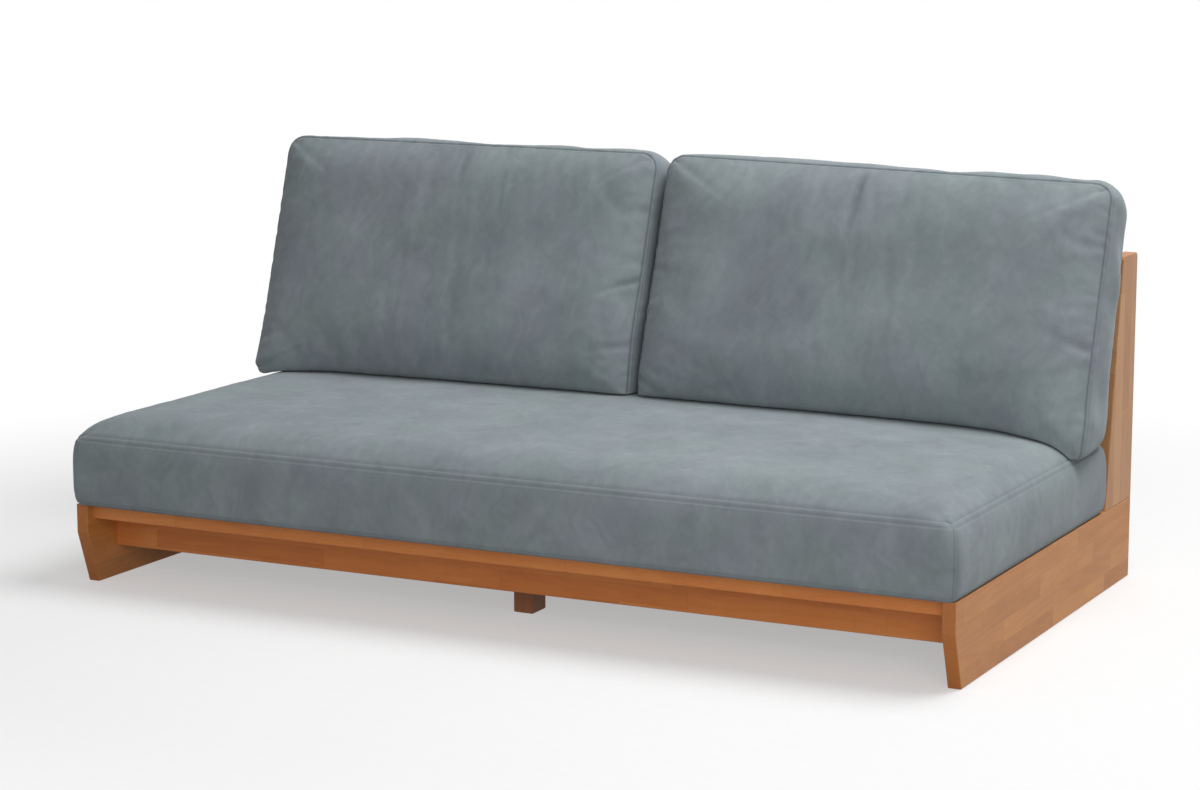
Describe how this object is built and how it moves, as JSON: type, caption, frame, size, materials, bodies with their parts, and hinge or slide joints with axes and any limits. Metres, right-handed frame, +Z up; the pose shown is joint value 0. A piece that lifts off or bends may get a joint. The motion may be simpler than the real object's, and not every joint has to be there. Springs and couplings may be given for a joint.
{
  "type": "low sofa",
  "caption": "Low armless sofa: solid wood frame with side panels, raked slatted back, a boxed seat cushion and loose back cushions that lift off.",
  "frame": {"origin": "on the floor, under the middle of the whole sofa", "axes": "+X along the sofa's length, towards the right-hand end seen from the front; -Y is the front; +Z up"},
  "size_m": [1.834, 1, 0.8052],
  "materials": {
    "panel_wood": "satin oiled",
    "post_wood": "satin oiled",
    "nosing_wood": "satin oiled",
    "rail_wood": "satin oiled",
    "leg_wood": "satin oiled",
    "back_wood": "satin oiled",
    "deck_wood": "planed",
    "dowel_wood": "fluted",
    "screw_steel": "zinc plated",
    "cover_fabric": "brushed suede-like nap",
    "cushion_filling": "foam",
    "zip_tape": "woven tape with plastic teeth",
    "zip_metal": "satin"
  },
  "bodies": {
    "frame": {"back_bottom_rail": "back_wood", "back_dowels": "dowel_wood", "back_slat_1": "back_wood", "back_slat_2": "back_wood", "back_slat_3": "back_wood", "back_slat_4": "back_wood", "back_slat_5": "back_wood", "back_slat_6": "back_wood", "back_slat_7": "back_wood", "back_slat_8": "back_wood", "back_slat_9": "back_wood", "back_top_rail": "back_wood", "block_screws": "screw_steel", "center_stretcher": "deck_wood", "cleat_screws": "screw_steel", "deck_screws": "screw_steel", "deck_slat_1": "deck_wood", "deck_slat_2": "deck_wood", "deck_slat_3": "deck_wood", "deck_slat_4": "deck_wood", "deck_slat_5": "deck_wood", "deck_slat_6": "deck_wood", "deck_slat_7": "deck_wood", "front_center_leg": "leg_wood", "front_left_block": "deck_wood", "front_rail": "rail_wood", "front_right_block": "deck_wood", "left_back_post": "post_wood", "left_cleat": "deck_wood", "left_side_panel": "panel_wood", "leg_screws": "screw_steel", "post_dowels": "dowel_wood", "rail_dowels": "dowel_wood", "rear_center_leg": "leg_wood", "rear_left_block": "deck_wood", "rear_rail": "rail_wood", "rear_right_block": "deck_wood", "right_back_post": "post_wood", "right_cleat": "deck_wood", "right_side_panel": "panel_wood", "seat_nosing": "nosing_wood", "stretcher_dowels": "dowel_wood"},
    "seat_cushion": {"seat_cover": "cover_fabric", "seat_foam": "cushion_filling", "seat_zip": "zip_tape"},
    "left_back_cushion": {"left_back_cover": "cover_fabric", "left_back_filling": "cushion_filling", "left_back_zip": "zip_tape"},
    "right_back_cushion": {"right_back_cover": "cover_fabric", "right_back_filling": "cushion_filling", "right_back_zip": "zip_tape"},
    "seat_zip_slider": {"seat_zip_slider": "zip_metal"},
    "left_back_zip_slider": {"left_back_zip_slider": "zip_metal"},
    "right_back_zip_slider": {"right_back_zip_slider": "zip_metal"}
  },
  "joints": [
    {"name": "seat_lift", "type": "slide", "parent": "frame", "child": "seat_cushion", "axis": [0, 0, 1], "range_m": [0, 0.3]},
    {"name": "left_back_lift", "type": "slide", "parent": "seat_cushion", "child": "left_back_cushion", "axis": [0, 0, 1], "range_m": [0, 0.35]},
    {"name": "right_back_lift", "type": "slide", "parent": "seat_cushion", "child": "right_back_cushion", "axis": [0, 0, 1], "range_m": [0, 0.35]},
    {"name": "seat_zip_slide", "type": "slide", "parent": "seat_cushion", "child": "seat_zip_slider", "axis": [1, 0, 0], "range_m": [0, 0.676]},
    {"name": "left_back_zip_slide", "type": "slide", "parent": "left_back_cushion", "child": "left_back_zip_slider", "axis": [1, 0, 0], "range_m": [0, 0.676]},
    {"name": "right_back_zip_slide", "type": "slide", "parent": "right_back_cushion", "child": "right_back_zip_slider", "axis": [1, 0, 0], "range_m": [0, 0.676]}
  ]
}
